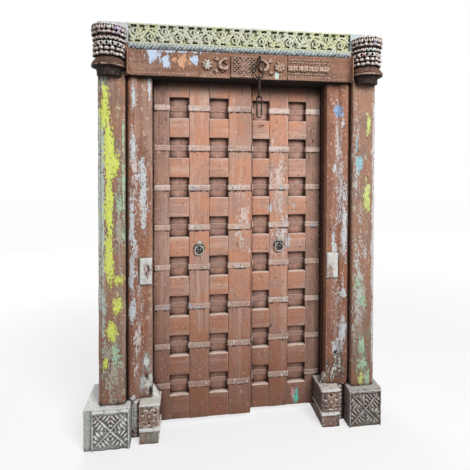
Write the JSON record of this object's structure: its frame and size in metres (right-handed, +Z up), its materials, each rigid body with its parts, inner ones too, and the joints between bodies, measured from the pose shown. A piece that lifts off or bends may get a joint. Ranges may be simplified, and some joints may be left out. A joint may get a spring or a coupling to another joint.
{
  "type": "carved double door with frame",
  "caption": "Carved teak double door in its own frame: leaves of recessed squares crossed by iron straps, swinging inward on wooden pivots, with ring pulls and a door chain.",
  "frame": {"origin": "on the floor, under the middle of the door's box", "axes": "+Z up along the posts, +X to the right seen from the front, front facing -Y"},
  "size_m": [1.459, 0.284, 1.991],
  "materials": {
    "frame_timber": "worn brown paint over teak, with older pale blue, white and yellow-green coats showing",
    "leaf_timber": "worn terracotta brown paint over teak",
    "back_timber": "dusty brown teak boards",
    "frieze_timber": "carved teak with worn yellow-green, white and pale blue paint",
    "foot_timber": "grey weathered carved teak with traces of paint",
    "strap_iron": "hand-forged flat iron under worn paint",
    "chain_iron": "dark forged iron",
    "pull_iron": "grey rubbed forged iron"
  },
  "bodies": {
    "frame": {"chain_staple": "chain_iron", "frieze_board": "frieze_timber", "left_capital": "frame_timber", "left_jamb": "frame_timber", "left_jamb_base": "foot_timber", "left_jamb_block": "frame_timber", "left_pilaster": "frame_timber", "left_plinth": "foot_timber", "lintel": "frame_timber", "right_capital": "frame_timber", "right_jamb": "frame_timber", "right_jamb_base": "foot_timber", "right_jamb_block": "frame_timber", "right_pilaster": "frame_timber", "right_plinth": "foot_timber", "rope_moulding": "frieze_timber"},
    "left_leaf": {"left_boards": "back_timber", "left_hanging_stile": "leaf_timber", "left_inner_rails": "leaf_timber", "left_ledges": "back_timber", "left_meeting_stile": "leaf_timber", "left_middle_stile": "leaf_timber", "left_outer_rails": "leaf_timber", "left_pull_plate": "pull_iron", "left_strap_1": "strap_iron", "left_strap_2": "strap_iron", "left_strap_3": "strap_iron", "left_strap_4": "strap_iron", "left_strap_5": "strap_iron", "left_strap_6": "strap_iron", "left_strap_7": "strap_iron", "left_strap_8": "strap_iron"},
    "right_leaf": {"right_boards": "back_timber", "right_hanging_stile": "leaf_timber", "right_hasp_staple": "chain_iron", "right_inner_rails": "leaf_timber", "right_ledges": "back_timber", "right_meeting_stile": "leaf_timber", "right_middle_stile": "leaf_timber", "right_outer_rails": "leaf_timber", "right_pull_plate": "pull_iron", "right_strap_1": "strap_iron", "right_strap_2": "strap_iron", "right_strap_3": "strap_iron", "right_strap_4": "strap_iron", "right_strap_5": "strap_iron", "right_strap_6": "strap_iron", "right_strap_7": "strap_iron", "right_strap_8": "strap_iron"},
    "left_ring": {"left_ring": "pull_iron"},
    "right_ring": {"right_ring": "pull_iron"},
    "chain_link_1": {"chain_link_1": "chain_iron"},
    "chain_link_2": {"chain_link_2": "chain_iron"},
    "chain_link_3": {"chain_link_3": "chain_iron"}
  },
  "joints": [
    {"name": "left_leaf_swing", "type": "hinge", "parent": "frame", "child": "left_leaf", "pos_m": [-0.421, 0.056, 0.9], "axis": [0, 0, 1], "range_deg": [0, 90]},
    {"name": "right_leaf_swing", "type": "hinge", "parent": "frame", "child": "right_leaf", "pos_m": [0.457, 0.094, 0.9], "axis": [0, 0, -1], "range_deg": [0, 90]},
    {"name": "left_ring_lift", "type": "hinge", "parent": "left_leaf", "child": "left_ring", "pos_m": [-0.193, 0.018, 0.917], "axis": [-1, 0, 0], "range_deg": [0, 110]},
    {"name": "right_ring_lift", "type": "hinge", "parent": "right_leaf", "child": "right_ring", "pos_m": [0.229, 0.056, 0.917], "axis": [-1, 0, 0], "range_deg": [0, 110]},
    {"name": "chain_link_1_swing", "type": "hinge", "parent": "frame", "child": "chain_link_1", "pos_m": [0.088, -0.102, 1.809], "axis": [0, 1, 0], "range_deg": [-25, 25]},
    {"name": "chain_link_2_swing", "type": "hinge", "parent": "chain_link_1", "child": "chain_link_2", "pos_m": [0.088, -0.102, 1.7403], "axis": [1, 0, 0], "range_deg": [-40, 15]},
    {"name": "chain_link_3_swing", "type": "hinge", "parent": "chain_link_2", "child": "chain_link_3", "pos_m": [0.088, -0.102, 1.6466], "axis": [0, 1, 0], "range_deg": [-30, 30]}
  ]
}
